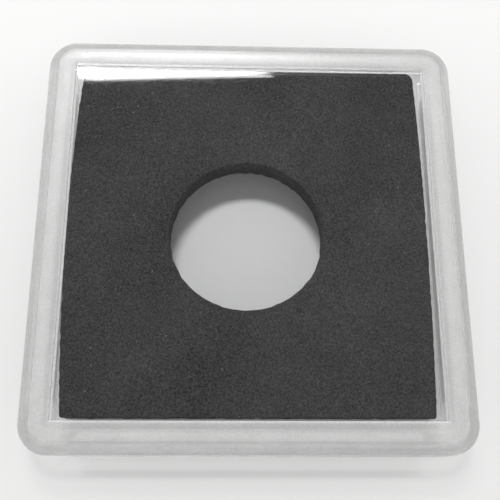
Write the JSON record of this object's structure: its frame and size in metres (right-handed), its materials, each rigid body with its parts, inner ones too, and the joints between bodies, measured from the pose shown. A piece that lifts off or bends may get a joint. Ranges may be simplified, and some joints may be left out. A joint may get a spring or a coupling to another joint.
{
  "type": "coin capsule",
  "caption": "Square snap-together coin capsule: clear windows in frosted rims close around black foam whose round hole holds a coin.",
  "frame": {"origin": "centre of the closed case's underside, on the surface that it lies on", "axes": "+Z out of the front window, +X to the right and +Y away from a person who looks down at the front"},
  "size_m": [0.0508, 0.0508, 0.0063],
  "materials": {
    "front_plastic": "gloss",
    "back_plastic": "gloss",
    "foam": "matte"
  },
  "bodies": {
    "back": {"back_shell": "back_plastic"},
    "front": {"front_shell": "front_plastic"},
    "insert": {"foam_insert": "foam"}
  },
  "joints": [
    {"name": "front_lift", "type": "slide", "parent": "back", "child": "front", "axis": [0, 0, 1], "range_m": [0, 0.06]},
    {"name": "insert_lift", "type": "slide", "parent": "back", "child": "insert", "axis": [0, 0, 1], "range_m": [0, 0.03]}
  ],
  "couplings": [
    {"joint": "insert_lift", "follows": "front_lift", "ratio": 0.5}
  ]
}
